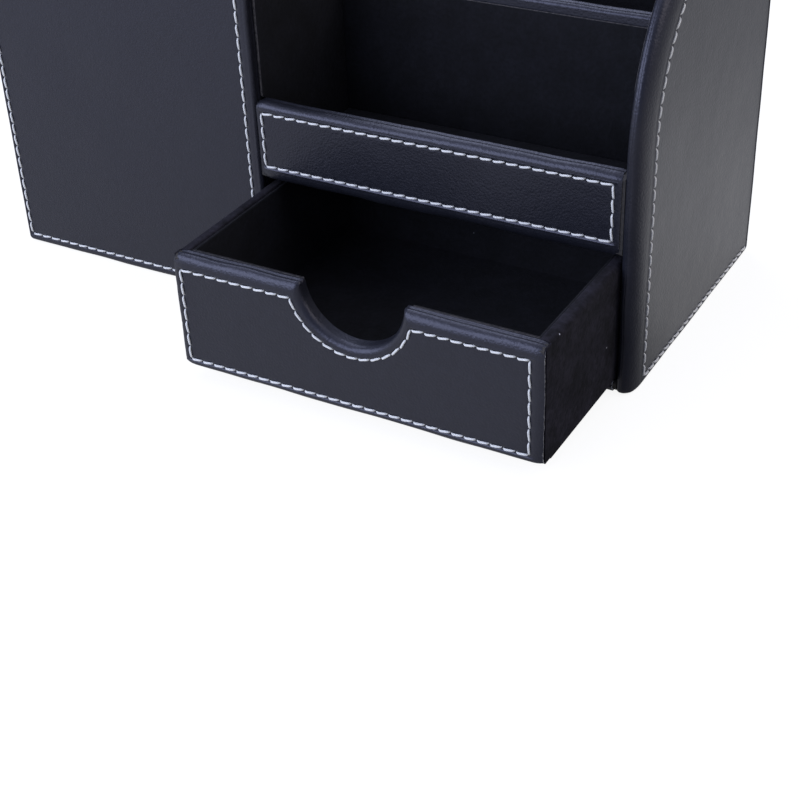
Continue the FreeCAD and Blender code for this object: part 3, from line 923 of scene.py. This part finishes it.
def side_sheet(name, node, front_first):
    """The velvet outside a drawer side, rolled over the rim."""
    board = panels[name]
    start, end = (END_PLATE, board.width) if front_first else (0.0, board.width - END_PLATE)
    bm = bmesh.new()
    row = row_of_points(bm, start, end)
    across = [vert.co.x for vert in row]
    turns = quarter_steps()
    rows = [(RIM_ROLL, 0.0)] + [on_quarter(turn, RIM_ROLL) for turn in turns]
    for turn in (0.0, *turns):
        from_wall, below = on_quarter(turn, INNER_ROLL)
        rows.append((below, RIM_WIDTH - from_wall))
    for drop, depth in rows:
        row = next_ring(bm, row, [Vector((x, board.height - drop)) for x in across], depth, closed=False)
    face_outwards(bm, Vector((0, 0, 1)))
    bm.transform(board.place)
    finish = [drawer_velvet, drawer_velvet]
    thicken(finish_piece(f"{name}_velvet", bm, "drawer", finish, [node]), CLOTH)


def end_plate(name, front_first):
    """The velvet over the end of the front board, behind the leather's cut end."""
    board = panels[name]
    tall = board.height - LEATHER
    along = (SETBACK + END_PLATE) / 2
    middle = Vector((along if front_first else board.width - along, tall / 2, -CLOTH / 2))
    bm = bmesh.new()
    size = Matrix.Diagonal((END_PLATE - SETBACK, tall, CLOTH, 1.0))
    bmesh.ops.create_cube(bm, size=1.0, matrix=Matrix.Translation(middle) @ size)
    front = -1 if front_first else 1
    corners = [edge for edge in bm.edges
               if all(front * (vert.co.x - middle.x) > 0 for vert in edge.verts)
               and abs(edge.verts[0].co.z - edge.verts[1].co.z) > CLOTH / 2]
    bmesh.ops.bevel(bm, geom=corners, offset=END_CORNER, offset_type="OFFSET", segments=ROLL_STEPS,
                    profile=0.5, affect="EDGES", material=-1)
    bm.transform(board.place)
    plate = finish_piece(f"{name}_end", bm, "drawer", [drawer_velvet])
    plate.data.set_sharp_from_angle(angle=SHARP)


for name, front_first in (("drawer_right", True), ("drawer_left", False)):
    side_sheet(name, f"{name}_cloth", front_first)
    end_plate(name, front_first)
print("drawer sides:", [name for name in pieces if name.startswith(("drawer_left", "drawer_right"))])

# %% Drawer liner
FRONT_WALL = 1.5 * MM


def line_drawer():
    """The card tray, with the cut edge of its front wall in bare card."""
    bm = softened("drawer_liner", CARD_EDGE)
    front = min(vert.co.y for vert in bm.verts)
    for face in bm.faces:
        at_front = face.calc_center_median().y < front + FRONT_WALL
        upwards = abs(face.normal.y) < 0.5 and abs(face.normal.x) < 0.98
        face.material_index = int(at_front and upwards)
    finish_piece("drawer_liner_piece", bm, "drawer", [compartment_velvet, card_cut], ["drawer_liner"])


line_drawer()
print("pieces so far:", len(pieces))

# %% [markdown]
# ### The board under the slope
# The right side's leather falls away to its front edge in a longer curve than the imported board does, and
# the board would show through. A thinner copy takes its place, quite hidden in the leather. The other
# boards and the felt stay as the CAD model has them and only get their materials.

# %% The right side's board
PLANED = 0.45  # what is left of its thickness


def planed_board(node):
    """A thinner copy of a board, which leaves room for the long slope of the leather over it."""
    bm = softened(node, CARD_EDGE)
    inner = min(vert.co.x for vert in bm.verts)
    for vert in bm.verts:
        vert.co.x = inner + (vert.co.x - inner) * PLANED
    finish_piece(f"{node}_piece", bm, "case", [fibreboard], [node])


planed_board("right_side_board")

# %% CAD pieces that stay
for node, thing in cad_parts.items():
    thing.data.materials.clear()
    if node.endswith("_cover"):
        thing.data.materials.append(leather)
    elif node == "under_felt":
        thing.data.materials.append(felt)
    else:
        thing.data.materials.append(fibreboard)
print("pieces in all:", len(pieces))

# %% [markdown]
# ## Floor, light and camera
# Black leather is seen by what it mirrors, so the studio is built for the reflections. The upright
# faces mirror the floor, a light table that is evenly white to the eye. In the leather its glow is
# softly uneven: brightest in a wide ring round a point in front, and dim in a round patch at the right,
# a painted shadow of the stand that darkens the front edge of the right side. The window box at the
# front left draws the bright lines on the front of the rolls, and the left box behind the stand draws
# those on the back. The dark lines between them mirror the blue-grey walls.

# %% Floor
GLOW = 0.9
FLOOR_HALF = 4.0
# the stops of both curves are pairs of a distance from the point, in metres, and a share of the glow
BRIGHT_AT = (-0.10, -0.15, 0.0)
BRIGHT_FADE = ((0.0, 0.66), (0.10, 0.68), (0.24, 0.74), (0.33, 0.84), (0.40, 0.70), (0.50, 0.52),
               (0.70, 0.40), (1.0, 0.35))
# the round patch of weaker glow at the right is a painted shadow of the stand, seen only in reflections
SHADE_AT = (0.19, -0.08, 0.0)
SHADE_FADE = ((0.0, 0.05), (0.065, 0.06), (0.08, 0.40), (0.095, 0.85), (0.11, 1.0), (1.0, 1.0))


def by_distance(tree, centre, stops):
    """A value that changes with the distance from a point, by a smooth curve through the stops."""
    place = add(tree, "ShaderNodeTexCoord").outputs["Object"]
    away = add(tree, "ShaderNodeVectorMath", [(0, place), (1, centre)], operation="DISTANCE")
    fade = add(tree, "ShaderNodeFloatCurve", [("Value", away.outputs["Value"])])
    curve = fade.mapping.curves[0]
    first, *middle, last = stops
    for point, stop in zip(curve.points, (first, last)):
        point.location = stop
    for stop in middle:
        curve.points.new(*stop)
    fade.mapping.extend = "HORIZONTAL"
    fade.mapping.update()
    return fade.outputs["Value"]


def stage_floor():
    """A white light table, evenly lit to the eye and softly uneven in what the leather mirrors, with a
    painted shadow of the stand at the right.
    """
    material, tree, shader = new_material("white_acrylic")
    shader.inputs["Base Color"].default_value = colour("606060")
    shader.inputs["Roughness"].default_value = 0.9
    shader.inputs["Emission Color"].default_value = colour("ffffff")
    seen = add(tree, "ShaderNodeLightPath").outputs["Is Camera Ray"]
    uneven = add(tree, "ShaderNodeMath", [
        (0, by_distance(tree, BRIGHT_AT, BRIGHT_FADE)), (1, by_distance(tree, SHADE_AT, SHADE_FADE))],
        operation="MULTIPLY")
    even_out = add(tree, "ShaderNodeMath", [(0, uneven.outputs["Value"]), (1, seen)], operation="MAXIMUM")
    glow = add(tree, "ShaderNodeMath", [(0, even_out.outputs["Value"]), (1, GLOW)], operation="MULTIPLY")
    tree.links.new(glow.outputs["Value"], shader.inputs["Emission Strength"])
    bm = bmesh.new()
    bmesh.ops.create_grid(bm, x_segments=1, y_segments=1, size=FLOOR_HALF)
    mesh = bpy.data.meshes.new("floor")
    bm.to_mesh(mesh)
    bm.free()
    floor = bpy.data.objects.new("floor", mesh)
    bpy.context.scene.collection.objects.link(floor)
    mesh.materials.append(material)


stage_floor()

# %% Light
STAND = (0.0, 0.0, 0.05)


def soft_box(name, where, aim, size, glow, tint):
    """A large rectangular light. glow is how bright its face is, where the white floor is 1."""
    light = bpy.data.lights.new(name, "AREA")
    light.shape = "RECTANGLE"
    light.size, light.size_y = size
    light.energy = glow * math.pi * size[0] * size[1]
    light.color = colour(tint)[:3]
    lamp = bpy.data.objects.new(name, light)
    lamp.visible_camera = False
    lamp.location = where
    lamp.rotation_euler = (Vector(aim) - Vector(where)).to_track_quat("-Z", "Y").to_euler()
    bpy.context.scene.collection.objects.link(lamp)


def studio_walls():
    """White walls to the eye, which are blue-grey in what the leather mirrors."""
    world = bpy.data.worlds.new("studio")
    world.use_nodes = True
    tree = world.node_tree
    seen = add(tree, "ShaderNodeLightPath").outputs["Is Camera Ray"]
    walls = add(tree, "ShaderNodeMix", [
        ("Factor", seen), ("A", colour("9097b4")), ("B", colour("ffffff"))], data_type="RGBA")
    tree.links.new(walls.outputs["Result"], tree.nodes["Background"].inputs["Color"])
    bpy.context.scene.world = world


soft_box("window_box", (-0.68, -1.09, 0.62), STAND, (1.7, 0.85), 6.6, "d8e2ff")
soft_box("left_box", (-0.50, 0.33, 1.05), STAND, (0.8, 0.55), 4.2, "d8e2ff")
soft_box("side_box", (1.15, 0.30, 0.75), STAND, (1.2, 0.9), 2.15, "fff8f0")
soft_box("top_box", (0.0, 0.1, 1.3), (0.0, 0.0, 0.0), (2.0, 1.8), 1.0, "e4e8f6")
studio_walls()
bpy.context.scene.view_settings.view_transform = "Standard"
print("lights:", [light.name for light in bpy.data.lights])

# %% Camera
AZIMUTH = math.radians(30.75)
ELEVATION = math.radians(33.76)
ROLL_ANGLE = math.radians(-2.45)
LENS = 71.3
SENSOR = 36
EYE = Vector((0.2603, -0.4287, 0.2683))


def studio_camera():
    """A camera at the eye, turned by azimuth, elevation and roll."""
    data = bpy.data.cameras.new("camera")
    data.lens = LENS
    data.sensor_width = SENSOR
    camera = bpy.data.objects.new("camera", data)
    forwards = Vector((-math.sin(AZIMUTH) * math.cos(ELEVATION),
                       math.cos(AZIMUTH) * math.cos(ELEVATION), -math.sin(ELEVATION)))
    level = forwards.cross(UP).normalized()
    turn = Matrix((level, level.cross(forwards), -forwards)).transposed()
    camera.matrix_world = (Matrix.Translation(EYE) @ turn.to_4x4()
                           @ Matrix.Rotation(ROLL_ANGLE, 4, "Z"))
    bpy.context.scene.collection.objects.link(camera)
    bpy.context.scene.camera = camera


studio_camera()
print("camera:", bpy.context.scene.camera.name, "with a lens of", LENS, "mm")
